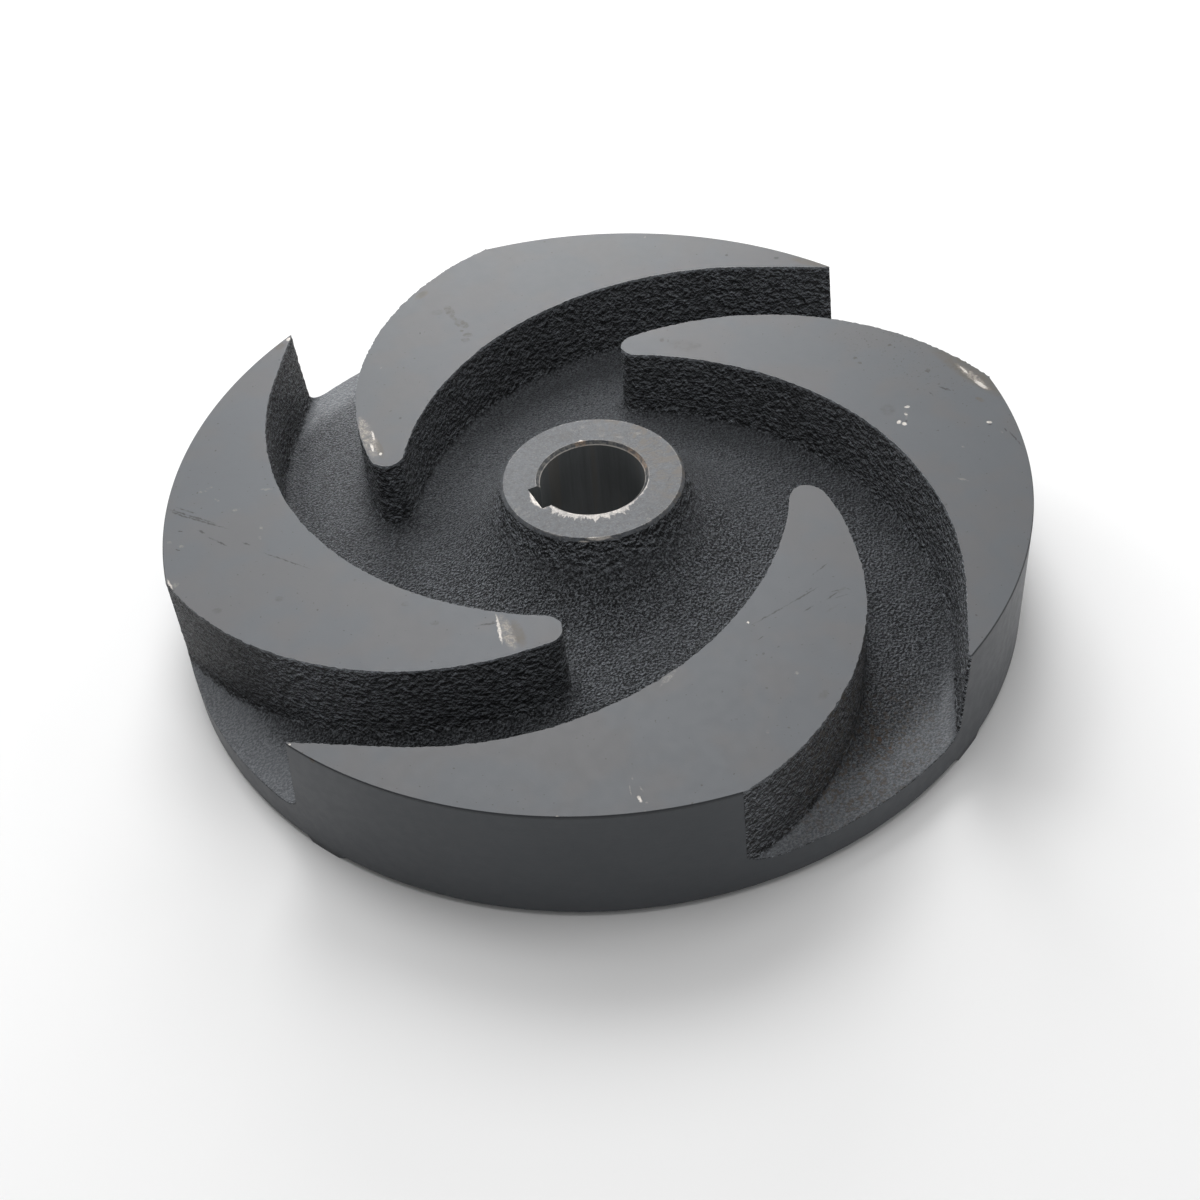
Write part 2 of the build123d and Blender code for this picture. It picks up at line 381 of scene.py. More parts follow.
# --- vane tops and the broken edge outside them ------------------------------
every = lambda: np.concatenate(verts)
tops_outer = []
for k in range(4):
    pts = every()
    tip, corner = mouths[(k - 1) % 4][:, -1], mouths[k][:, 0]
    at, ac = math.atan2(*pts[tip[-1], 1::-1]), math.atan2(*pts[corner[-1], 1::-1])
    ac = at + (ac - at) % (2 * math.pi)
    n = int(round((ac - at) * RIM_R / 2.4)) * 2
    a = np.linspace(at, ac, n + 1)
    ring = put(np.column_stack([(RIM_R - RIM_EDGE) * np.cos(a), (RIM_R - RIM_EDGE) * np.sin(a), np.full(n + 1, TOP_Z)]))
    mid = put(np.column_stack([RIM_R * np.cos(a[1:-1]), RIM_R * np.sin(a[1:-1]), np.full(n - 1, TOP_Z - RIM_EDGE)]))
    outer = np.concatenate([[tip[-1]], mid, [corner[-1]]])
    grid_faces(np.stack([ring, outer]), EDGE)
    tops_outer.append((outer, a))
    pts = every()
    flat_enough = lambda i: pts[i, 2] > TOP_Z - 1e-6
    t_in = [i for i in tip[1:] if flat_enough(i)]
    c_in = [i for i in corner[1:] if flat_enough(i)]
    for chain, n_in, r0 in ((tip, len(t_in), ring[0]), (corner, len(c_in), ring[-1])):
        for i in range(n_in, N_ROUND):
            faces.append(np.array([[chain[i], chain[i + 1], r0]]))
            groups.append(np.array([EDGE]))
    loop = np.concatenate([walls[k][0], t_in, ring, c_in[::-1]]).astype(int)
    fill(pts[loop, :2], loop, [list(range(len(loop)))], None, TOPS[k])

# --- shroud front and hub side ----------------------------------------------
N_HUB = 180
ha = np.linspace(0, 2 * math.pi, N_HUB, endpoint=False)
hx = np.column_stack([HUB_R * np.cos(ha), HUB_R * np.sin(ha), np.full(N_HUB, SIDE_Z)])
hd = skin(hx, np.full(N_HUB, 0.22))
hub_ring = put(hx + np.column_stack([np.cos(ha), np.sin(ha), 0 * ha]) * np.clip(hd, -0.2, 0.1)[:, None])


def unrolled(x):
    r = np.hypot(x[:, 0], x[:, 1])
    return x[:, :2] * (along_profile(r) / r)[:, None]


loop_ids, loop_x = [], []
for k in range(4):
    loop_ids += [walls[k][ROWS][::-1], floor_arcs[k][0]]
    loop_x += [wall_x[k][ROWS][::-1], floor_arcs[k][1]]
# from a vane's tip round its nose to its corner, then across the mouth to the next tip
loop_ids, loop_x = np.concatenate(loop_ids), np.concatenate(loop_x)
flat = np.concatenate([unrolled(loop_x), unrolled(hx)])
ids = np.concatenate([loop_ids, hub_ring])
cand = hexes((-143, -143), (143, 143), FLOOR_STEP)
cr = np.hypot(*cand.T)
cand = cand[(cr > HUB_R + 0.5) & (cr < along_profile(ARC_R) - 0.5)]
cand = cand[clear_of(cand, flat, FLOOR_STEP * 0.55)]
cr = np.hypot(*cand.T)
r = np.interp(cr, TABLE_S, TABLE_R)
z, s = shroud(r)
out = cand / cr[:, None]
fx = np.column_stack([out * r[:, None], z])
ln = np.hypot(1, s)
fn = np.column_stack([out * (-s / ln)[:, None], 1 / ln])
rough = 0.38 + 0.25 * np.clip((50 - r) / 15, 0, 1)
rough *= 1 - 0.6 * np.clip((r - 116) / 10, 0, 1)
cand_ids = put(fx + fn * skin(fx, rough)[:, None])
n0 = len(loop_ids)
fill(flat, ids, [list(range(n0)), list(range(n0, n0 + N_HUB))], (cand, cand_ids), CAST, lambda c: np.hypot(*c.T) < HUB_R * 0.9998)

# --- hub: turned edge, face, bore and keyway ---------------------------------
ring = lambda rr, zz, a: np.column_stack([rr * np.cos(a), rr * np.sin(a), np.full(len(a), zz)])
hub_face = put(ring(HUB_R - HUB_EDGE, HUB_Z, ha))
closed = lambda i: np.append(i, i[0])
grid_faces(np.stack([closed(hub_ring), closed(hub_face)]), HUBEDGE)


def bore_angles(rr):
    a = math.asin(KEY_HALF / rr)
    return np.linspace(math.pi + a, 3 * math.pi - a, 121)


wide, narrow = BORE_R + BORE_EDGE, BORE_R
bore = [put(ring(rr, zz, bore_angles(rr))) for rr, zz in ((wide, HUB_Z), (narrow, HUB_Z - BORE_EDGE), (narrow, BORE_EDGE), (wide, 0.0))]
for i, g in enumerate((MOUTH, BORE, MOUTH2)):
    grid_faces(np.stack([bore[i], bore[i + 1]]), g)
key = put([(KEY_X, KEY_HALF, HUB_Z), (KEY_X, -KEY_HALF, HUB_Z), (KEY_X, KEY_HALF, 0), (KEY_X, -KEY_HALF, 0)])
faces.append(np.array([[key[0], key[1], key[3]], [key[0], key[3], key[2]]])), groups.append(np.full(2, KEY_F))
for top, low, end, g in ((key[1], key[3], 0, KEY_A), (key[0], key[2], -1, KEY_B)):
    chain = [top, bore[0][end], bore[1][end], bore[2][end], bore[3][end], low]
    for i in range(1, 5):
        faces.append(np.array([[chain[0], chain[i], chain[i + 1]]])), groups.append(np.array([g]))


def in_bore(c):
    return (np.hypot(*c.T) < wide * 0.9995) | ((c[:, 0] > KEY_X) & (c[:, 0] < 0) & (np.abs(c[:, 1]) < KEY_HALF))


# --- underside: back face, ribs, boss ----------------------------------------
FOOT_N, ARC_N, RUN_N = 14, 56, 26
ribs = []
for k in range(4):
    mid_r = FACE_R + RIB_BEHIND
    sides = []
    for half in (RIB_HALF, RIB_FOOT):
        ends = []
        for rr in (mid_r - half, mid_r + half):
            s0 = FACE_C + rr * unit(START)
            b, c = 2 * s0 @ RUN_D, s0 @ s0 - RIM_R**2
            ends.append(s0 + RUN_D * (-b + math.sqrt(b * b - 4 * c)) / 2)
        cs = lambda a: np.stack([np.cos(a), np.sin(a)], -1)
        arc = np.linspace(START, FROM_FACE, ARC_N + 1)
        run = np.linspace(0, 1, RUN_N + 1)[:-1, None]
        inner, outer = FACE_C + (mid_r - half) * cs(arc), FACE_C + (mid_r + half) * cs(arc)
        cap_c = FACE_C + mid_r * unit(FROM_FACE)
        cap = cap_c + half * cs(np.linspace(FROM_FACE + math.pi, FROM_FACE, FOOT_N + 1))[1:-1]
        p = np.concatenate([ends[0] + (inner[0] - ends[0]) * run, inner, cap, outer[::-1], (ends[1] + (outer[0] - ends[1]) * run)[::-1]])
        sides.append(turned(p, VANE[k]))
    foot, crest = sides
    fz = BACK_Z + 0.10 * perlin(np.column_stack([foot, np.zeros(len(foot))]) / 3.0 + 5)
    fz[[0, -1]] = BACK_Z
    foot_ids, crest_ids = put(np.column_stack([foot, fz])), put(np.column_stack([crest, np.zeros(len(crest))]))
    grid_faces(np.stack([foot_ids, crest_ids]), RIBSIDE)
    a0, a1 = math.atan2(*crest[0][::-1]), math.atan2(*crest[-1][::-1])
    a1 = a0 + (a1 - a0 + math.pi) % (2 * math.pi) - math.pi
    a = np.linspace(a0, a1, 12)[1:-1]
    end_ids = put(ring(RIM_R, 0.0, a))
    loop = np.concatenate([crest_ids, end_ids[::-1]])
    pts = every()
    fill(pts[loop, :2], loop, [list(range(len(loop)))], None, CREST)
    ribs.append((foot_ids, crest_ids, end_ids))
pts = every()
seam = tops_outer[0][1][len(tops_outer[0][1]) // 2] % (2 * math.pi)
ang = lambda i: math.atan2(pts[i, 1], pts[i, 0]) % (2 * math.pi)
back_loop, bottom = [], []
for k in range(4):
    foot, crest, end = ribs[k]
    # the end with the larger angle is where the next stretch of rim starts
    b_up, b_lo = (foot[-1], foot[0]) if (ang(foot[-1]) - ang(foot[0])) % (2 * math.pi) < math.pi else (foot[0], foot[-1])
    swap = b_up == foot[0]
    nf = ribs[(k + 1) % 4][0]
    n_lo = nf[0] if (ang(nf[-1]) - ang(nf[0])) % (2 * math.pi) < math.pi else nf[-1]
    s0 = ang(b_up)
    s1 = s0 + (ang(n_lo) - s0) % (2 * math.pi)
    a = np.linspace(s0, s1, int((s1 - s0) * RIM_R / 1.6))[1:-1]
    at = s0 + (seam - s0) % (2 * math.pi)
    if at < s1:
        a[np.argmin(abs(a - at))] = at
        seam_at = at
    x = ring(RIM_R, BACK_Z, a)
    x[:, 2] += 0.13 * perlin(x / 2.6 + 9)
    arc = put(x)
    if at < s1:
        seam_id = arc[np.argmin(abs(a - at))]
    f_order = foot[::-1] if swap else foot
    c_order = crest[::-1] if swap else crest
    e_order = end[::-1] if not swap else end
    # e_order runs with rising angle from the lower crest end to the upper one
    back_loop += [f_order, arc]
    rise = e_order if (np.diff([(ang_ := math.atan2(*every()[i, 1::-1])) for i in e_order[:2]])[0] > 0) else e_order[::-1]
    bottom += [[f_order[0], c_order[0], *rise, c_order[-1], f_order[-1]], list(arc)]
boss_a = np.linspace(0, 2 * math.pi, 150, endpoint=False)
x = ring(BOSS_R, BACK_Z, boss_a)
x[:, 2] += 0.10 * perlin(x / 3.0 + 5)
boss_foot, boss_face = put(x), put(ring(BOSS_FOOT, 0.0, boss_a))
grid_faces(np.stack([closed(boss_foot), closed(boss_face)]), BOSSIDE)
pts = every()
back_loop = np.concatenate(back_loop)
flat = np.concatenate([pts[back_loop, :2], pts[boss_foot, :2]])
cand = hexes((-131, -131), (131, 131), 2.5)
cr = np.hypot(*cand.T)
cand = cand[(cr > BOSS_R + 1) & (cr < RIM_R - 1)]
cand = cand[clear_of(cand, flat, 1.4)]
x = np.column_stack([cand, np.full(len(cand), BACK_Z)])
x[:, 2] += 0.14 * perlin(x / 5.2 + 9) + 0.10 * perlin(x / 21.0 + 2)
cand_ids = put(x)
fill(flat, np.concatenate([back_loop, boss_foot]), [list(range(len(back_loop))), list(range(len(back_loop), len(back_loop) + 150))], (cand, cand_ids), BACK, lambda c: np.hypot(*c.T) < BOSS_R * 0.9998)
for face_ring, z_ring, g, lead in ((hub_face, bore[0], HUB, (key[1], key[0])), (boss_face, bore[3], BOSS, (key[3], key[2]))):
    inner = np.concatenate([[lead[0]], z_ring, [lead[1]]])
    ids = np.concatenate([face_ring, inner])
    pts = every()
    n0 = len(face_ring)
    fill(pts[ids, :2], ids, [list(range(n0)), list(range(n0, len(ids)))], None, g, in_bore)

# --- the turned rim, unrolled ------------------------------------------------
pts = every()
upper = []
for k in range(4):
    upper += [list(tops_outer[k][0]), list(mouths[k][-1][1:-1])]
upper = [i for part in upper for i in part]
lower = [i for part in bottom for i in part]
seam_top = tops_outer[0][0][len(tops_outer[0][1]) // 2]
i = upper.index(seam_top)
upper = upper[i:] + upper[:i]
i = lower.index(seam_id)
lower = lower[i:] + lower[:i]
seam_ids = put(np.column_stack([np.full(6, RIM_R * math.cos(seam)), np.full(6, RIM_R * math.sin(seam)), np.linspace(BACK_Z, TOP_Z - RIM_EDGE, 8)[1:-1]]))
pts = every()


def unroll(chain):
    a = (np.arctan2(pts[chain, 1], pts[chain, 0]) - seam + 1e-9) % (2 * math.pi)
    a[0] = 0
    return np.column_stack([a * RIM_R, pts[chain, 2]])


full = 2 * math.pi * RIM_R
up, low, sm = unroll(upper), unroll(lower), pts[seam_ids, 2]
flat = np.concatenate([low, [[full, low[0, 1]]], np.column_stack([np.full(6, full), sm]), [[full, up[0, 1]]], up[::-1], np.column_stack([np.zeros(6), sm[::-1]])])
ids = np.concatenate([lower, [lower[0]], seam_ids, [upper[0]], upper[::-1], seam_ids[::-1]])
cand = hexes((1.5, 3.6), (full - 1.5, 42.2), 3.4)
cand = cand[clear_of(cand, flat, 1.3)]
cand_ids = put(np.column_stack([RIM_R * np.cos(seam + cand[:, 0] / RIM_R), RIM_R * np.sin(seam + cand[:, 0] / RIM_R), cand[:, 1]]))
fill(flat, ids, [list(range(len(flat)))], (cand, cand_ids), RIM)

# --- one closed mesh ---------------------------------------------------------
pts, tris, group = every(), np.concatenate(faces), np.concatenate(groups)
key_xyz = np.round(pts * 1e4).astype(np.int64)
_, first, same = np.unique(key_xyz, axis=0, return_index=True, return_inverse=True)
tris = same.reshape(-1)[tris]
pts = pts[first]
good = (tris[:, 0] != tris[:, 1]) & (tris[:, 1] != tris[:, 2]) & (tris[:, 0] != tris[:, 2])
tris, group = tris[good], group[good]
used, inv = np.unique(tris, return_inverse=True)
tris, pts = inv.reshape(tris.shape), pts[used]
e = np.sort(np.concatenate([tris[:, :2], tris[:, 1:], tris[:, ::2]]), 1)
_, c = np.unique(e, axis=0, return_counts=True)
print("mesh:", len(pts), "points", len(tris), "triangles; edges not shared by two:", int((c != 2).sum()))

mesh = bpy.data.meshes.new("impeller_casting")
mesh.vertices.add(len(pts))
mesh.vertices.foreach_set("co", (pts / 1000).astype(np.float32).ravel())
mesh.loops.add(len(tris) * 3)
mesh.loops.foreach_set("vertex_index", tris.astype(np.int32).ravel())
mesh.polygons.add(len(tris))
mesh.polygons.foreach_set("loop_start", (np.arange(len(tris)) * 3).astype(np.int32))
mesh.update(calc_edges=True)
mesh.validate()
kind = mesh.attributes.new("kind", "INT", "FACE")
kind.data.foreach_set("value", group.astype(np.int32))
import bmesh

bm = bmesh.new()
bm.from_mesh(mesh)
bmesh.ops.recalc_face_normals(bm, faces=bm.faces)
lay = bm.faces.layers.int["kind"]
for edge in bm.edges:
    f = edge.link_faces
    edge.smooth = len(f) == 2 and f[0][lay] == f[1][lay]
for f in bm.faces:
    f.smooth = f[lay] not in (*TOPS, HUB, CREST, BOSS, KEY_A, KEY_B, KEY_F)
print("volume cm3", round(bm.calc_volume(signed=True) * 1e6, 2))
bm.to_mesh(mesh)
bm.free()
piece = bpy.data.objects.new("impeller_casting", mesh)
bpy.context.scene.collection.objects.link(piece)
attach(piece, "root")
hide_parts("impeller")

# =============================================================================
# Camera
# =============================================================================
ELEV, ROLL, SPIN = rad(44.849), rad(-6.031), rad(-22.6)
fwd = np.array([0, math.cos(ELEV), -math.sin(ELEV)])
right = np.array([1.0, 0, 0])
down = np.cross(fwd, right)
basis = np.array([[math.cos(ROLL), -math.sin(ROLL), 0], [math.sin(ROLL), math.cos(ROLL), 0], [0, 0, 1]]) @ np.stack([right, down, fwd])
spin = np.array([[math.cos(SPIN), -math.sin(SPIN), 0], [math.sin(SPIN), math.cos(SPIN), 0], [0, 0, 1]])
place = spin @ (-basis.T @ np.array([0.0335, -0.2938, 4.1597]) * 0.130) + np.array([0, 0, 0.0427])
axes = spin @ np.stack([basis[0], -basis[1], -basis[2]], 1)
cam_data = bpy.data.cameras.new("camera")
cam = bpy.data.objects.new("camera", cam_data)
bpy.context.scene.collection.objects.link(cam)
m = np.eye(4)
m[:3, :3], m[:3, 3] = axes, place
cam.matrix_world = Matrix(m.tolist())
cam_data.sensor_width = 36.0
cam_data.lens = 1790.6 * 36.0 / 1200
cam_data.shift_x, cam_data.shift_y = (600 - 577.7) / 1200, (602.3 - 600) / 1200
cam_data.clip_start, cam_data.clip_end = 0.02, 20
bpy.context.scene.camera = cam

# =============================================================================
# Materials
# =============================================================================
class Tree:
    """A material's nodes, written as formulas."""

    def __init__(self, name):
        self.mat = bpy.data.materials.new(name)
        self.mat.use_nodes = True
        self.nodes, self.links = self.mat.node_tree.nodes, self.mat.node_tree.links
        self.bsdf = self.nodes["Principled BSDF"]
        self.coord = self.new("ShaderNodeTexCoord")

    def new(self, kind, **props):
        n = self.nodes.new(kind)
        for k, v in props.items():
            setattr(n, k, v)
        return n

    def set(self, socket, value):
        if isinstance(value, bpy.types.NodeSocket):
            self.links.new(value, socket)
        else:
            socket.default_value = value

    def math(self, op, *args, clamp=False):
        n = self.new("ShaderNodeMath", operation=op, use_clamp=clamp)
        for i, a in enumerate(args):
            self.set(n.inputs[i], a)
        return n.outputs[0]

    def vec(self, op, *args, out=0, scale=None):
        n = self.new("ShaderNodeVectorMath", operation=op)
        for i, a in enumerate(args):
            self.set(n.inputs[i], a)
        if scale is not None:
            self.set(n.inputs["Scale"], scale)
        return n.outputs[out]

    def step(self, x, lo, hi, to=(0.0, 1.0)):
        n = self.new("ShaderNodeMapRange", interpolation_type="SMOOTHSTEP")
        for i, a in enumerate((x, lo, hi, *to)):
            self.set(n.inputs[i], a)
        return n.outputs[0]

    def blend(self, f, a, b):
        n = self.new("ShaderNodeMix", data_type="FLOAT")
        self.set(n.inputs[0], f)
        self.set(n.inputs[2], a)
        self.set(n.inputs[3], b)
        return n.outputs[0]

    def blob(self, at, x, y, z, size, deg):
        """1 at the middle of an ellipse, falling to 0 at its border."""
        m = self.new("ShaderNodeMapping", vector_type="TEXTURE")
        self.set(m.inputs["Vector"], at)
        m.inputs["Location"].default_value = (x, y, z)
        m.inputs["Rotation"].default_value = (0, 0, rad(deg))
        m.inputs["Scale"].default_value = size
        g = self.new("ShaderNodeTexGradient", gradient_type="SPHERICAL")
        self.set(g.inputs[0], m.outputs[0])
        return g.outputs[1]

    def cover(self, at, marks, lo, hi):
        """Union of flat ellipses (x, y, half length, half width, degrees), in mm."""
        total = None
        for x, y, a, b, deg in marks:
            g = self.blob(at, x, y, 30.0, (a * 1.25, b * 1.25, 400.0), deg)
            total = g if total is None else self.math("MAXIMUM", total, g)
        return self.step(total, lo, hi)

    def cover3(self, at, marks, lo, hi):
        total = None
        for x, y, z, a in marks:
            g = self.blob(at, x, y, z, (a, a, a), 0)
            total = g if total is None else self.math("MAXIMUM", total, g)
        return self.step(total, lo, hi)

    def noise(self, at, size_mm, detail=2.0, rough=0.5, warp=0.0, kind="FBM", out=0):
        n = self.new("ShaderNodeTexNoise", noise_type=kind)
        self.set(n.inputs["Vector"], at)
        n.inputs["Scale"].default_value = 1.0 / size_mm
        n.inputs["Detail"].default_value = detail
        n.inputs["Roughness"].default_value = rough
        n.inputs["Distortion"].default_value = warp
        return n.outputs[out]

    def mix(self, f, a, b, blend="MIX"):
        n = self.new("ShaderNodeMix", data_type="RGBA", blend_type=blend)
        self.set(n.inputs[0], f)
        self.set(n.inputs[6], a if isinstance(a, bpy.types.NodeSocket) else (*a, 1))
        self.set(n.inputs[7], b if isinstance(b, bpy.types.NodeSocket) else (*b, 1))
        return n.outputs[2]

    def bump(self, height, mm, strength=1.0, normal=None):
        n = self.new("ShaderNodeBump")
        n.inputs["Strength"].default_value = strength
        n.inputs["Distance"].default_value = mm / 1000
        self.set(n.inputs["Height"], height)
        if normal is not None:
            self.set(n.inputs["Normal"], normal)
        return n.outputs[0]

    @property
    def mm(self):
        """Object position in millimetres."""
        return self.vec("SCALE", self.coord.outputs["Object"], scale=1000.0)


TOP_MARKS = [
    {
        "faint": [(-6.3, 102.6, 2.4, 1.6, -30), (-7.0, 115.2, 2.4, 1.3, 25), (-3.0, 96.8, 2.0, 1.0, -80)],
        "smudge": [(-2.6, 100.8, 3.5, 1.45, -96), (-2.1, 92.6, 3.4, 1.7, -77), (-2.8, 85.3, 1.6, 1.0, -33), (-4.6, 83.2, 1.4, 1.1, -33), (-3.6, 88.5, 0.7, 0.5, 10)],
        "scrape": [(-51.8, 53.1, 9.83, 2.37, -98), (-50.5, 60.8, 3.57, 1.12, -96)],
        "chip": [(-50.0, 53.6, 2.3, 0.38, -104), (-52.5, 48.0, 2.08, 0.41, -99), (-51.4, 43.9, 0.47, 0.67, -32)],
        "stain": [(113.9, 59.2, 7.79, 1.8, -53), (-50.8, 46.4, 4.69, 1.25, -99), (-7.0, 114.8, 3.2, 1.7, 25)],
        "scratch": [(-39.2, 56.9, 0.48, 0.5, -32), (-16.0, 95.1, 0.34, 0.55, -33), (92.5, 78.5, 0.52, 0.6, -33), (105.9, 67.6, 0.85, 0.72, -33)],
        "fleck": [(-34.6, 84.4, 0.33, 0.53, -32), (74.1, 103.6, 0.35, 0.62, -33)],
    },
    {
        "scratch": [(-113.0, 48.8, 6.54, 0.31, -54), (-110.7, 44.5, 9.82, 0.32, -52), (-111.7, 39.4, 1.61, 0.29, -60), (-108.9, 32.7, 4.01, 0.29, -61), (-101.7, 27.1, 1.44, 0.31, -53), (-94.2, 14.4, 8.82, 0.21, -55), (-54.1, -40.4, 3.1, 0.35, -19), (-112.7, 51.1, 3.78, 0.27, -54), (-109.6, 44.5, 4.72, 0.27, -55), (-115.3, 50.5, 3.15, 0.26, -61), (-117.0, 42.7, 1.01, 0.25, -44), (-120.3, 35.3, 0.7, 0.23, -49)],
        "faint": [(-118.4, 4.5, 1.5, 1.2, -31), (-101.2, -0.2, 1.2, 1.2, -31), (-70.6, -21.1, 1.4, 1.1, -31), (-66.3, -32.4, 1.4, 1.0, -31), (-79.3, -4.4, 0.4, 0.5, -31)],
        "chip": [(-51.7, -43.9, 5.57, 0.44, -107), (-55.2, 116.1, 1.08, 0.79, 25), (-127.0, 22.0, 2.5, 0.37, -91)],
        "scrape": [(-50.3, -46.5, 6.99, 1.82, -100)],
        "stain": [(-47.9, -48.4, 5.75, 1.82, -100), (-59.2, 113.8, 2.15, 1.4, 31)],
        "fleck": [(-105.4, 56.6, 1.23, 0.67, -15), (-103.1, 57.1, 1.08, 0.53, -13), (-102.9, 50.6, 1.14, 0.36, -55), (-87.9, 47.1, 1.86, 0.47, -27), (-99.0, 43.1, 1.23, 0.61, -10), (-121.6, 39.8, 0.86, 0.51, -36), (-119.1, 36.4, 1.11, 0.54, -38), (-95.4, 31.5, 1.22, 0.47, -95), (-97.2, 27.5, 0.83, 0.5, -83), (-87.3, 46.9, 0.31, 0.46, -32), (-126.0, 21.7, 1.62, 1.27, -54)],
    },
    {
        "scratch": [(15.7, -77.8, 6.68, 0.26, 7), (26.8, -76.3, 5.19, 0.28, 8), (25.5, -81.2, 1.88, 0.27, 11), (36.7, -79.4, 2.36, 0.27, -12), (36.7, -69.6, 3.33, 0.2, 16), (-12.0, -106.1, 0.43, 0.33, -54), (6.3, -89.5, 0.33, 0.41, -66), (-10.3, -95.7, 0.32, 0.36, -65), (29.6, -75.1, 1.16, 0.21, 12), (33.8, -80.4, 2.31, 0.24, 12), (36.0, -81.8, 1.97, 0.22, -8), (38.9, -80.0, 1.24, 0.23, -60), (8.5, -84.1, 1.21, 0.17, 7)],
        "faint": [(37.4, -79.8, 1.95, 0.63, 23), (31.5, -84.5, 2.49, 0.51, 7), (12.1, -110.4, 2.08, 1.14, 27)],
        "chip": [(8.7, -77.2, 0.36, 0.49, -50), (-46.4, -116.6, 1.07, 0.52, -94), (-117.8, -53.8, 0.41, 0.51, -35), (-67.0, -111.3, 0.38, 0.38, -30)],
        "fleck": [(-46.9, -112.4, 2.14, 0.23, -111), (-45.4, -118.5, 0.46, 0.37, -75), (-47.1, -120.8, 0.34, 0.28, -97), (10.2, -100.1, 0.64, 0.67, -65), (-7.0, -113.7, 0.52, 0.68, -31), (-19.8, -83.7, 4.01, 0.97, 29), (-44.5, -114.0, 1.06, 0.21, -97), (-44.8, -109.7, 0.67, 0.18, -107), (12.8, -65.9, 0.96, 0.45, 24)],
        "stain": [(-118.3, -54.6, 0.6, 0.51, -47)],
    },
    {
        "smudge": [(50.4, 48.0, 0.66, 1.08, -33), (51.8, 46.5, 0.33, 0.81, -33), (113.6, -11.1, 0.66, 0.98, -55), (111.0, 6.2, 0.63, 0.63, -33), (97.9, 6.5, 0.63, 0.62, -32), (97.8, 3.5, 0.63, 0.62, -32)],
        "faint": [(92.1, -20.8, 2.6, 2.81, -54), (54.9, 41.4, 5.54, 3.06, -49), (58.5, 39.1, 1.6, 1.6, -61)],
        "fleck": [(95.7, -25.3, 2.42, 0.6, -121), (115.1, -47.3, 0.81, 0.29, -93), (101.4, -47.1, 0.49, 0.35, -60), (92.8, -59.4, 1.82, 0.44, -53)],
        "stain": [(123.9, -18.6, 16.5, 3.6, -82), (118.7, -31.5, 1.67, 0.92, -79)],
        "scrape": [(123.5, -21.3, 8.06, 1.45, -87)],
        "chip": [(123.2, -25.5, 2.91, 0.75, -83), (123.1, -16.9, 2.33, 0.38, -93), (97.9, -22.6, 0.81, 0.52, -15), (95.5, -25.4, 0.46, 0.47, -83), (91.7, -27.4, 0.64, 0.88, -54), (92.6, -29.0, 0.77, 0.8, -23), (114.6, -41.9, 0.75, 0.57, -43)],
        "scratch": [(112.6, -21.2, 1.79, 0.41, -66), (93.8, -28.3, 0.46, 0.57, -47), (114.1, -42.9, 0.59, 0.43, -37), (107.8, -21.4, 1.22, 0.28, -86), (113.5, -22.3, 0.98, 0.31, -74), (116.6, -52.4, 3.59, 0.25, -97), (116.6, -47.2, 0.81, 0.22, -93)],
    },
]
HUB_MARKS = {
    "faint": [(1.7, 21.4, 2.9, 2.45, -54), (13.5, -8.6, 1.55, 1.36, -15)],
    "fleck": [(11.5, 15.7, 1.32, 0.83, -48), (15.6, 11.9, 0.83, 0.59, -49), (21.0, 10.6, 0.95, 0.57, -39), (7.8, 22.5, 1.45, 0.95, -42), (-25.9, -1.4, 1.36, 0.57, 23), (5.4, -25.5, 0.59, 0.56, -32), (-24.5, -4.3, 1.89, 0.34, 4), (8.1, 22.3, 1.3, 0.45, -40), (11.7, 16.1, 1.4, 0.5, -45), (15.6, 12.2, 1.0, 0.4, -45), (21.3, 10.8, 1.3, 0.45, -40), (-24.7, -5.6, 2.2, 0.22, 5), (4.7, 22.9, 0.8, 0.3, -60)],
    "scratch": [(4.2, 20.4, 2.6, 0.16, -78), (-22.6, -7.4, 1.8, 0.15, 20), (19.5, -13.0, 1.6, 0.2, 40), (22.0, -4.0, 1.2, 0.2, 60)],
    "chip": [(-19.4, -2.6, 3.1, 0.9, -70), (-19.6, 1.2, 2.6, 0.75, -100), (-11.5, -24.7, 2.8, 0.4, -28), (-9.0, -25.8, 1.8, 0.3, -20), (4.6, 16.6, 0.9, 0.6, -50), (-14.6, -23.8, 1.8, 0.32, -35)],
}
PAINT = np.array([0.0735, 0.0800, 0.0890])
GLOSS = 0.35


def tint(f):
    return tuple(float(v) for v in PAINT * f)


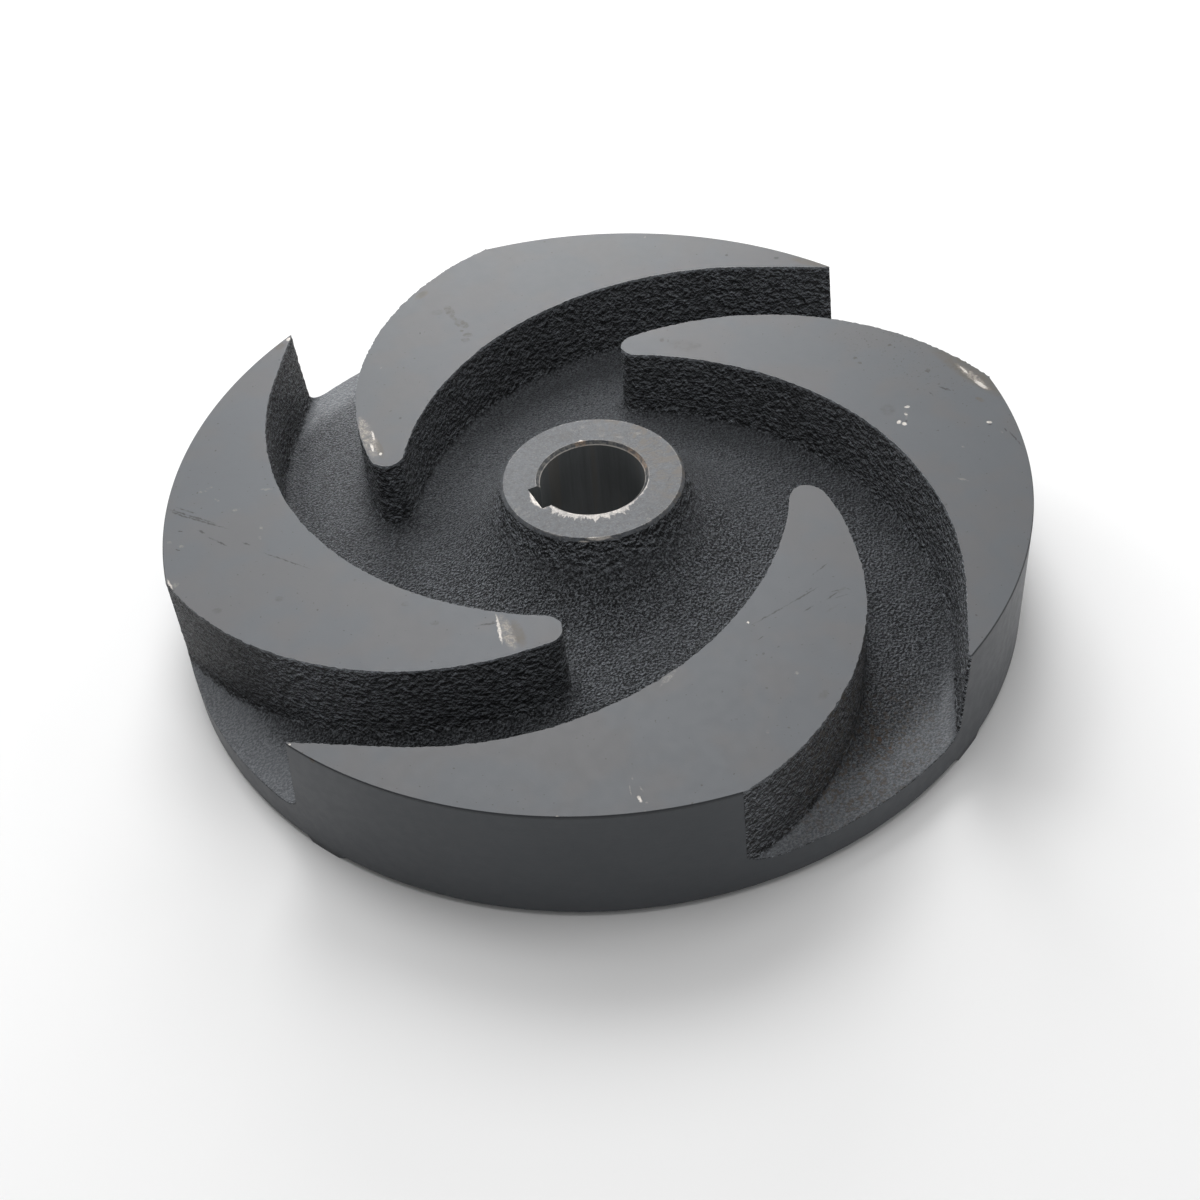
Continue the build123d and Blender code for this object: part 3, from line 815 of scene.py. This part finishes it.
def worn_paint(t, at, colour, marks, rough=0.45):
    """Lays stains, smudges, scratches, scrapes and bare chips over satin paint and gives back the colour and the masks.
    """
    ragged = t.vec("ADD", at, t.vec("SCALE", t.vec("SUBTRACT", t.noise(at, 0.7, 2, out=1), (0.5, 0.5, 0.5)), scale=1.1))
    crisp = t.vec("ADD", at, t.vec("SCALE", t.vec("SUBTRACT", t.noise(at, 1.1, 3, out=1), (0.5, 0.5, 0.5)), scale=0.9))
    grit = t.noise(at, 0.55, 3, 0.65)
    patchy = t.noise(at, 1.5, 2, 0.5)
    soft = {n: t.cover(ragged, marks[n], 0.02, 0.55) for n in ("faint", "smudge", "stain", "scrape") if n in marks}
    hard = {n: t.cover(crisp, marks[n], 0.0, 0.5) for n in ("scratch", "chip", "fleck") if n in marks}
    dip = None
    if "stain" in soft:
        colour = t.mix(t.math("MULTIPLY", soft["stain"], t.step(patchy, 0.3, 0.7, (0.55, 0.95))), colour, (0.072, 0.062, 0.050))
    if "faint" in soft:
        colour = t.mix(t.math("MULTIPLY", soft["faint"], t.step(patchy, 0.3, 0.7, (0.15, 0.5))), colour, (0.040, 0.036, 0.032))
    if "smudge" in soft:
        ring = t.math("MULTIPLY", t.math("MULTIPLY", soft["smudge"], t.math("SUBTRACT", 1.0, soft["smudge"])), t.step(patchy, 0.38, 0.60, (0.8, 2.8)))
        worn_in = t.math("MULTIPLY", soft["smudge"], t.step(patchy, 0.38, 0.60, (0.35, 0.85)))
        colour = t.mix(t.math("MAXIMUM", ring, worn_in), colour, (0.030, 0.025, 0.020))
    if "scrape" in soft:
        m = t.math("MULTIPLY", soft["scrape"], t.math("MULTIPLY", t.step(grit, 0.38, 0.60, (0.45, 1.0)), t.step(patchy, 0.36, 0.62, (0.22, 1.0))))
        colour = t.mix(m, colour, (0.25, 0.225, 0.195))
        dip = m
    if "scratch" in hard:
        m = t.math("MULTIPLY", hard["scratch"], t.step(patchy, 0.36, 0.56, (0.25, 1.0)))
        colour = t.mix(m, colour, (0.022, 0.022, 0.024))
    if "fleck" in hard:
        colour = t.mix(t.math("MULTIPLY", hard["fleck"], t.math("MULTIPLY", t.step(grit, 0.4, 0.6, (0.2, 0.9)), t.step(patchy, 0.42, 0.56, (0.15, 1.0)))), colour, (0.17, 0.165, 0.155))
    bare = None
    if "chip" in hard:
        bare = t.math("MULTIPLY", hard["chip"], t.step(grit, 0.34, 0.52, (0.5, 1.0)))
        colour = t.mix(bare, colour, (0.46, 0.43, 0.395))
        dip = bare if dip is None else t.math("MAXIMUM", dip, bare)
    return colour, dip, bare, grit


def top_paint(k):
    t = Tree("vane_top_" + "abcd"[k])
    at = t.mm
    broad = t.noise(at, 26, 2)
    fine = t.noise(at, 0.5, 2, 0.6)
    streak = t.noise(t.vec("MULTIPLY", at, (1.0, 0.35, 1.0)), 6, 2)
    shade = t.math("ADD", t.math("MULTIPLY", broad, 0.10), t.math("ADD", t.math("MULTIPLY", fine, 0.07), t.math("MULTIPLY", streak, 0.06)))
    # the vane's own painted light and shade
    shade = t.math("ADD", shade, TOP_PAINTED_LIGHT[k] - 0.115)
    hue = t.mix(t.step(t.noise(at, 17, 2), 0.40, 0.62), tint(1.0), (0.0790, 0.0800, 0.0845))
    colour = t.vec("SCALE", hue, scale=shade)
    dots = t.step(t.noise(at, 1.25, 1), 0.735, 0.775)
    if k == 3:
        dots = t.math("MAXIMUM", dots, t.math("MULTIPLY", t.cover(at, [(112.0, 0.0, 34.0, 13.0, -75)], 0.0, 0.7), t.step(t.noise(at, 0.95, 2), 0.635, 0.68)))
    colour = t.mix(t.math("MULTIPLY", dots, 0.7), colour, (0.030, 0.027, 0.024))
    colour, dip, bare, grit = worn_paint(t, at, colour, TOP_MARKS[k])
    t.set(t.bsdf.inputs["Base Color"], colour)
    rough = t.step(t.noise(at, 3.0, 2), 0.3, 0.7, (0.43, 0.47))
    relief = t.math("MULTIPLY", fine, 0.012)
    if dip is not None:
        rough = t.math("ADD", rough, t.math("MULTIPLY", dip, -0.06))
        relief = t.math("SUBTRACT", relief, t.math("MULTIPLY", dip, t.math("MULTIPLY", grit, 0.10)))
    if bare is not None:
        t.set(t.bsdf.inputs["Metallic"], t.math("MULTIPLY", bare, 0.35))
    t.set(t.bsdf.inputs["Roughness"], rough)
    t.bsdf.inputs["Specular IOR Level"].default_value = GLOSS
    t.set(t.bsdf.inputs["Normal"], t.bump(relief, 1.0))
    return t.mat


# each vane's top painted lighter or darker for how the light falls on it: painted light and shade, one copy of the
# paint per vane
TOP_PAINTED_LIGHT = [0.93, 1.10, 1.0, 1.0]


def cast_paint():
    t = Tree("cast_skin")
    at = t.mm
    nz = t.new("ShaderNodeSeparateXYZ")
    t.geometry = t.new("ShaderNodeNewGeometry")
    t.set(nz.inputs[0], t.geometry.outputs["Normal"])
    steep = t.step(t.math("ABSOLUTE", nz.outputs[2]), 0.72, 0.28)
    r = t.vec("LENGTH", t.vec("MULTIPLY", at, (1, 1, 0)), out=1)
    calm = t.math("MULTIPLY", t.step(r, 104.0, 121.0), t.math("SUBTRACT", 1.0, steep))
    toward = t.math("DIVIDE", t.vec("DOT_PRODUCT", at, (0.26, 0.966, 0.0), out=1), r)
    behind = t.math("MULTIPLY", t.step(toward, -0.45, 0.85, (0.0, 0.85)), t.math("SUBTRACT", 1.0, steep))
    calm = t.math("MAXIMUM", calm, behind)
    # sand grain on the shroud: close pits with lands between them, the pits painted dark, as dirt and as painted shade
    sand = t.noise(at, 0.76, 3, 0.66)
    behind_sand = t.noise(t.vec("ADD", at, (-0.04, 0.21, 0.0)), 0.76, 3, 0.66)
    pits = t.step(sand, 0.52, 0.455)
    pits = t.math("MULTIPLY", pits, t.step(t.noise(at, 9, 2), 0.30, 0.60, (0.6, 1.0)))
    pits = t.math("MULTIPLY", pits, t.math("SUBTRACT", 1.0, t.math("MULTIPLY", calm, 0.60)))
    # coarse lumps on the vane walls, their hollows painted dark, as dirt and as painted shade
    lump = t.noise(t.vec("MULTIPLY", at, (1.0, 1.0, 1.12)), 1.8, 4, 0.74, 0.15)
    # the lumps sampled 0.42 mm higher: facets facing up are painted lighter and facets facing down darker, a painted
    # shade standing in for relief finer than the mesh
    above = t.noise(t.vec("MULTIPLY", t.vec("ADD", at, (0.0, 0.0, 0.42)), (1.0, 1.0, 1.12)), 1.8, 4, 0.74, 0.15)
    dust_and_painted_shade = t.step(t.math("SUBTRACT", lump, above), -0.065, 0.115, (-0.93, 1.6))
    # on the shroud, facets facing the back are painted lighter and those facing the front darker: painted light and
    # shade
    lit = t.step(t.math("SUBTRACT", sand, behind_sand), -0.10, 0.10, (-0.60, 0.70))
    glint = t.math("MULTIPLY", steep, t.step(t.noise(at, 0.85, 1), 0.60, 0.68, (0.0, 1.2)))
    hollow = t.step(lump, 0.53, 0.46)
    dark = t.blend(steep, pits, hollow)
    broad = t.noise(at, 30, 2)
    shade = t.math("ADD", t.math("MULTIPLY", broad, 0.3), t.blend(calm, t.blend(steep, 1.50, 1.90), 1.50))
    shade = t.math("ADD", shade, t.math("MULTIPLY", t.math("MULTIPLY", t.step(r, 108.0, 121.0), t.math("SUBTRACT", 1.0, steep)), 0.10))
    # pits and hollows painted darker: dirt together with painted shade in them
    shade = t.math("MULTIPLY", shade, t.math("SUBTRACT", 1.0, t.math("MULTIPLY", dark, t.blend(steep, 0.72, 0.45))))
    # lighter crests on the shroud grain and the wall lumps, and the glints below: painted highlights
    shade = t.math("ADD", shade, t.math("MULTIPLY", t.blend(steep, t.step(sand, 0.55, 0.64), t.step(lump, 0.55, 0.64)), t.blend(steep, t.blend(calm, 1.1, 0.3), 0.5)))
    shade = t.math("ADD", shade, t.math("MULTIPLY", glint, t.math("SUBTRACT", 1.0, hollow)))
    # applies the painted light and shade of the grain's facets: on the walls by facing up, on the shroud by facing back
    shade = t.math("MULTIPLY", shade, t.math("ADD", 1.0, t.blend(steep, t.math("MULTIPLY", lit, t.blend(calm, 1.0, 0.25)), dust_and_painted_shade)))
    specks = t.math("MULTIPLY", t.math("MULTIPLY", t.step(t.noise(at, 0.60, 2, 0.6), 0.51, 0.60), calm), t.step(r, 124.0, 115.0))
    shade = t.math("MULTIPLY", shade, t.math("SUBTRACT", 1.0, t.math("MULTIPLY", specks, 0.72)))
    shade = t.math("MULTIPLY", shade, t.math("ADD", 1.0, t.math("MULTIPLY", calm, 0.06)))
    height = t.new("ShaderNodeSeparateXYZ")
    t.set(height.inputs[0], at)
    # a lighter band along the walls' top edge: a painted highlight
    lip = t.math("MULTIPLY", t.step(t.math("ADD", height.outputs[2], t.math("MULTIPLY", sand, 0.9)), 41.9, 42.6), steep)
    shade = t.math("ADD", shade, t.math("MULTIPLY", lip, 3.0))
    # surfaces facing back and to the right painted darker: painted shade
    away = t.vec("DOT_PRODUCT", t.geometry.outputs["Normal"], (0.55, 0.75, 0.0), out=1)
    shade = t.math("MULTIPLY", shade, t.step(away, 0.1, 0.8, (1.0, 0.66)))
    # walls facing front and right, and the outer wall at the far left, painted darker by which way they face: painted
    # shade
    facing = [t.vec("DOT_PRODUCT", t.geometry.outputs["Normal"], d, out=1) for d in ((0.707, -0.707, 0.0), (-0.99, -0.13, 0.0), (-0.5, -0.866, 0.0))]
    place = t.new("ShaderNodeSeparateXYZ")
    t.set(place.inputs[0], at)
    painted_side_shade = t.math("MULTIPLY", t.step(facing[0], 0.66, 0.92), t.step(r, 70.0, 112.0, (0.14, 0.40)))
    painted_side_shade = t.math("MAXIMUM", painted_side_shade, t.math("MULTIPLY", t.math("MULTIPLY", t.step(facing[1], 0.76, 0.94), t.step(place.outputs[0], -92.0, -117.0)), 0.60))
    shade = t.math("MULTIPLY", shade, t.math("SUBTRACT", 1.0, painted_side_shade))
    # surfaces facing the front and a little left painted lighter: painted light
    shade = t.math("MULTIPLY", shade, t.step(facing[2], 0.84, 0.98, (1.0, 1.2)))
    colour = t.vec("SCALE", (0.0735, 0.0780, 0.0845), scale=shade)
    rust = t.cover(t.vec("ADD", at, t.vec("SCALE", t.vec("SUBTRACT", t.noise(at, 0.8, 2, out=1), (0.5, 0.5, 0.5)), scale=0.9)), [(31.1, -110.1, 0.75, 0.6, 20), (-0.6, -107.8, 0.6, 0.5, 60), (-1.6, -112.1, 0.5, 0.4, 0), (-7.8, -113.5, 0.7, 0.45, 30), (32.1, -114.0, 0.5, 0.4, 0)], 0.0, 0.4)
    colour = t.mix(t.math("MULTIPLY", rust, 0.8), colour, (0.10, 0.045, 0.020))
    tinge = t.math("MULTIPLY", t.cover(at, [(22.0, -112.0, 34.0, 20.0, 20)], 0.0, 0.7), t.step(t.noise(at, 1.3, 2), 0.50, 0.62, (0.0, 0.75)))
    colour = t.mix(tinge, colour, (0.092, 0.074, 0.058))
    t.set(t.bsdf.inputs["Base Color"], colour)
    t.set(t.bsdf.inputs["Roughness"], t.blend(t.step(sand, 0.35, 0.65), 0.60, 0.42))
    t.bsdf.inputs["Specular IOR Level"].default_value = 0.28
    relief = t.blend(steep, t.math("MULTIPLY", sand, t.blend(calm, 3.2, t.step(r, 113.0, 121.0, (1.1, 0.35)))), t.math("ADD", t.math("MULTIPLY", lump, 4.6), t.math("MULTIPLY", sand, 2.6)))
    t.set(t.bsdf.inputs["Normal"], t.bump(relief, 1.0))
    return t.mat


def rim_paint():
    t = Tree("turned_rim")
    at = t.mm
    place = t.new("ShaderNodeSeparateXYZ")
    t.set(place.inputs[0], at)
    z = place.outputs[2]
    edge = t.step(t.math("ADD", z, t.math("MULTIPLY", t.noise(at, 1.4, 2), 0.5)), 41.75, 42.35)
    fine = t.noise(at, 0.6, 2, 0.6)
    rings = t.noise(t.vec("MULTIPLY", at, (0.04, 0.04, 1.0)), 0.8, 2)
    broad = t.noise(at, 22, 2)
    shade = t.math("ADD", t.math("MULTIPLY", broad, 0.14), t.math("ADD", t.math("MULTIPLY", fine, 0.08), t.math("MULTIPLY", rings, 0.05)))
    shade = t.math("ADD", shade, 0.67)
    shade = t.math("MULTIPLY", shade, t.math("SUBTRACT", 1.0, t.math("MULTIPLY", edge, 0.42)))
    low = t.step(t.math("ADD", z, t.math("MULTIPLY", t.noise(at, 1.8, 2), 1.1)), 3.1, 2.3)
    shade = t.math("MULTIPLY", shade, t.math("SUBTRACT", 1.0, t.math("MULTIPLY", low, 0.35)))
    colour = t.vec("SCALE", tint(1.0), scale=shade)
    nick = t.cover3(t.vec("ADD", at, t.vec("SCALE", t.vec("SUBTRACT", t.noise(at, 0.7, 2, out=1), (0.5, 0.5, 0.5)), scale=0.7)), [(-114.5, -61.6, 42.2, 1.3), (57.8, 115.8, 42.2, 0.9), (-127.9, 23.4, 42.0, 1.6), (-127.0, 27.0, 42.3, 0.9)], 0.1, 0.5)
    colour = t.mix(t.math("MULTIPLY", nick, 0.8), colour, (0.030, 0.020, 0.013))
    t.set(t.bsdf.inputs["Base Color"], colour)
    t.set(t.bsdf.inputs["Roughness"], t.step(t.noise(at, 3.0, 2), 0.3, 0.7, (0.44, 0.50)))
    t.bsdf.inputs["Specular IOR Level"].default_value = GLOSS
    t.set(t.bsdf.inputs["Normal"], t.bump(t.math("ADD", t.math("MULTIPLY", fine, 0.03), t.math("ADD", t.math("MULTIPLY", rings, 0.012), t.math("MULTIPLY", broad, 0.25))), 1.0))
    return t.mat


def hub_paint():
    t = Tree("hub_face")
    at = t.mm
    place = t.new("ShaderNodeSeparateXYZ")
    t.set(place.inputs[0], at)
    x, y, z = place.outputs
    r = t.vec("LENGTH", t.vec("MULTIPLY", at, (1, 1, 0)), out=1)
    a = t.math("ARCTAN2", y, x)
    round_ = t.new("ShaderNodeCombineXYZ")
    t.set(round_.inputs[0], t.math("MULTIPLY", a, 20.0))
    t.set(round_.inputs[1], t.math("MULTIPLY", r, 0.16))
    brush = t.noise(round_.outputs[0], 0.55, 3, 0.6)
    mottle = t.noise(at, 1.7, 3, 0.6)
    fine = t.noise(at, 0.5, 2, 0.6)
    broad = t.noise(at, 9, 2)
    shade = t.math("ADD", t.math("MULTIPLY", mottle, 2.2), t.math("ADD", t.math("MULTIPLY", fine, 1.3), t.math("MULTIPLY", broad, 0.55)))
    right = t.step(x, 6.0, 20.0)
    shade = t.math("ADD", shade, t.math("MULTIPLY", t.math("SUBTRACT", brush, 0.5), t.blend(right, 0.40, 1.0)))
    shade = t.math("ADD", shade, -1.16)
    colour = t.vec("SCALE", tint(1.0), scale=shade)
    # pale dust specks on the hub face
    dust_and_painted_shade = t.math("MULTIPLY", t.step(t.noise(at, 0.8, 2), 0.57, 0.64), 0.8)
    colour = t.mix(dust_and_painted_shade, colour, (0.13, 0.13, 0.128))
    colour = t.mix(t.math("MULTIPLY", right, t.step(t.math("ADD", t.math("MULTIPLY", brush, 0.5), t.math("MULTIPLY", t.noise(at, 3.2, 2), 0.5)), 0.47, 0.58, (0.0, 0.8))), colour, (0.085, 0.070, 0.054))
    colour, dip, bare, grit = worn_paint(t, at, colour, HUB_MARKS)
    # bare fringe round the near side of the bore, in short radial teeth
    teeth = t.new("ShaderNodeCombineXYZ")
    t.set(teeth.inputs[0], t.math("MULTIPLY", a, 17.0))
    tooth = t.noise(teeth.outputs[0], 1.5, 4, 0.72)
    reach = t.math("MULTIPLY", t.math("MULTIPLY", t.step(a, -2.95, -2.70), t.step(a, -1.55, -1.20, (1.0, 0.22))), t.step(a, -0.75, -0.45, (1.0, 0.0)))
    reach = t.math("MULTIPLY", reach, t.step(tooth, 0.34, 0.70, (0.7, 3.8)))
    fringe = t.math("MULTIPLY", t.step(t.math("SUBTRACT", t.math("SUBTRACT", r, 17.0), reach), 0.15, -0.15), t.step(reach, 0.05, 0.2))
    # a thin bright line round the inner edge and worn glints on the outer one
    worn = t.noise(at, 2.4, 3, 0.65)
    line = t.math("MULTIPLY", t.step(r, 17.45, 17.15), t.step(worn, 0.44, 0.56))
    outer = t.math("MULTIPLY", t.math("MULTIPLY", t.step(r, 26.75, 27.0), t.step(r, 27.45, 27.2)), t.step(worn, 0.50, 0.60))
    metal = t.math("MAXIMUM", fringe, t.math("MULTIPLY", t.math("MAXIMUM", line, outer), 0.45))
    metal = t.math("MULTIPLY", metal, t.math("MULTIPLY", t.step(mottle, 0.36, 0.58, (0.6, 1.0)), t.step(fine, 0.36, 0.60, (0.6, 1.0))))
    colour = t.mix(metal, colour, (0.41, 0.385, 0.36))
    copper = t.math("MULTIPLY", t.math("MULTIPLY", t.step(r, 17.4, 17.2), t.step(x, 2.5, 3.5)), t.math("MULTIPLY", t.step(x, 6.5, 5.5), t.step(y, 13.0, 15.0)))
    colour = t.mix(t.math("MULTIPLY", copper, 0.5), colour, (0.30, 0.19, 0.12))
    t.set(t.bsdf.inputs["Base Color"], colour)
    t.set(t.bsdf.inputs["Metallic"], t.math("MULTIPLY", t.math("MAXIMUM", metal, bare), 0.35))
    t.set(t.bsdf.inputs["Roughness"], t.step(mottle, 0.3, 0.7, (0.40, 0.50)))
    t.bsdf.inputs["Specular IOR Level"].default_value = GLOSS
    relief = t.math("ADD", t.math("MULTIPLY", mottle, 0.05), t.math("ADD", t.math("MULTIPLY", fine, 0.03), t.math("MULTIPLY", t.math("MULTIPLY", brush, right), 0.06)))
    relief = t.math("SUBTRACT", relief, t.math("MULTIPLY", t.math("MAXIMUM", metal, dip), 0.06))
    t.set(t.bsdf.inputs["Normal"], t.bump(relief, 1.0))
    return t.mat


def bore_iron():
    t = Tree("bore_wall")
    at = t.mm
    streak = t.noise(t.vec("MULTIPLY", at, (1.0, 1.0, 0.035)), 1.3, 3, 0.7)
    wide = t.noise(t.vec("MULTIPLY", at, (1.0, 1.0, 0.08)), 6.0, 2)
    fine = t.noise(at, 0.6, 2)
    shade = t.math("ADD", t.math("MULTIPLY", streak, 0.7), t.math("ADD", t.math("MULTIPLY", wide, 0.5), t.math("MULTIPLY", fine, 0.15)))
    colour = t.vec("SCALE", (0.142, 0.150, 0.154), scale=t.math("ADD", shade, 0.3))
    brown = t.math("MULTIPLY", t.step(wide, 0.55, 0.68), 0.4)
    colour = t.mix(brown, colour, (0.160, 0.140, 0.115))
    t.set(t.bsdf.inputs["Base Color"], colour)
    t.set(t.bsdf.inputs["Roughness"], t.step(streak, 0.3, 0.7, (0.34, 0.50)))
    t.bsdf.inputs["Specular IOR Level"].default_value = 0.4
    t.set(t.bsdf.inputs["Normal"], t.bump(t.math("ADD", t.math("MULTIPLY", streak, 0.05), t.math("MULTIPLY", fine, 0.02)), 1.0))
    return t.mat


def bore_mouth():
    t = Tree("bore_chamfer")
    at = t.mm
    place = t.new("ShaderNodeSeparateXYZ")
    t.set(place.inputs[0], at)
    x, y, z = place.outputs
    worn = t.noise(at, 1.6, 3, 0.65)
    fine = t.noise(at, 0.4, 2)
    colour = t.mix(t.step(worn, 0.44, 0.60), tint(0.7), (0.17, 0.165, 0.155))
    lip = t.step(t.math("ABSOLUTE", t.math("SUBTRACT", z, HUB_Z - BORE_EDGE)), 0.32, 0.12)
    colour = t.mix(t.math("MULTIPLY", lip, t.step(worn, 0.36, 0.5, (0.3, 0.9))), colour, (0.42, 0.40, 0.37))
    copper = t.math("MAXIMUM", t.math("MULTIPLY", t.math("MULTIPLY", t.step(x, 14.2, 15.2), t.step(y, -7.0, -4.0)), t.step(y, 7.5, 5.0)), t.math("MULTIPLY", t.math("MULTIPLY", t.step(x, 2.0, 3.0), t.step(x, 6.3, 5.3)), t.step(y, 5.0, 10.0)))
    colour = t.mix(t.math("MULTIPLY", copper, t.step(worn, 0.44, 0.60, (0.15, 0.75))), colour, (0.30, 0.21, 0.145))
    t.set(t.bsdf.inputs["Base Color"], colour)
    t.set(t.bsdf.inputs["Metallic"], t.step(worn, 0.45, 0.6, (0.1, 0.5)))
    t.set(t.bsdf.inputs["Roughness"], t.step(fine, 0.3, 0.7, (0.30, 0.44)))
    t.set(t.bsdf.inputs["Normal"], t.bump(t.math("MULTIPLY", worn, 0.10), 1.0))
    return t.mat


slots = {}


def use(mat, *kinds):
    mesh.materials.append(mat)
    mat.pass_index = len(mesh.materials)
    for k in kinds:
        slots[k] = len(mesh.materials) - 1


use(cast_paint(), CAST, BACK, RIBSIDE, BOSSIDE)
use(rim_paint(), RIM, EDGE, CREST, BOSS)
for k in range(4):
    use(top_paint(k), TOPS[k])
use(hub_paint(), HUB, HUBEDGE)
use(bore_iron(), BORE, KEY_A, KEY_B, KEY_F)
use(bore_mouth(), MOUTH, MOUTH2)
kinds = np.zeros(len(mesh.polygons), np.int32)
mesh.attributes["kind"].data.foreach_get("value", kinds)
mesh.polygons.foreach_set("material_index", np.array([slots.get(k, 0) for k in range(21)], np.int32)[kinds])

# =============================================================================
# Floor, lights
# =============================================================================
floor_mesh = bpy.data.meshes.new("floor")
floor_mesh.from_pydata([(-6, -6, 0), (6, -6, 0), (6, 6, 0), (-6, 6, 0)], [], [(0, 1, 2, 3)])
floor = bpy.data.objects.new("floor", floor_mesh)
bpy.context.scene.collection.objects.link(floor)
fmat = bpy.data.materials.new("pale_floor")
fmat.use_nodes = True
fmat.node_tree.nodes["Principled BSDF"].inputs["Base Color"].default_value = (0.85, 0.85, 0.85, 1)
fmat.node_tree.nodes["Principled BSDF"].inputs["Roughness"].default_value = 0.8
floor_mesh.materials.append(fmat)

world = bpy.data.worlds.new("studio")
bpy.context.scene.world = world
world.use_nodes = True
world.node_tree.nodes["Background"].inputs[0].default_value = (1, 1, 1, 1)
world.node_tree.nodes["Background"].inputs[1].default_value = 0.27
bpy.context.scene.view_settings.view_transform = "Standard"
bpy.context.scene.cycles.denoising_prefilter = "NONE"


def light(name, azimuth, elevation, distance, size, power, target=(0, 0, 0.02), colour=(1, 1, 1)):
    """A round soft light; azimuth 0 is behind the object as the camera sees it, 90 to its right."""
    a, e = rad(azimuth), rad(elevation)
    way = Vector(spin @ np.array([math.sin(a) * math.cos(e), math.cos(a) * math.cos(e), math.sin(e)]))
    data = bpy.data.lights.new(name, "AREA")
    data.shape, data.size, data.energy, data.color = "DISK", size, power, colour
    o = bpy.data.objects.new(name, data)
    o.location = Vector(target) + way * distance
    o.rotation_euler = (-way).to_track_quat("-Z", "Y").to_euler()
    bpy.context.scene.collection.objects.link(o)
    return o


for name, azimuth, elevation, power in (
    ("back_low", 0, 15, 8.9),
    ("back_mid", 0, 25, 2.06),
    ("back_high", 0, 50, 9.54),
    ("left_low", 315, 25, 3.64),
    ("left_high", 315, 50, 4.34),
    ("right_low", 45, 25, 3.04),
    ("right_side", 90, 25, 1.36),
    ("front_right", 135, 50, 0.68),
    ("overhead", 0, 90, 6.04),
):
    light(name, azimuth, elevation, 1.5, 0.9 if elevation == 90 else 0.8, power)
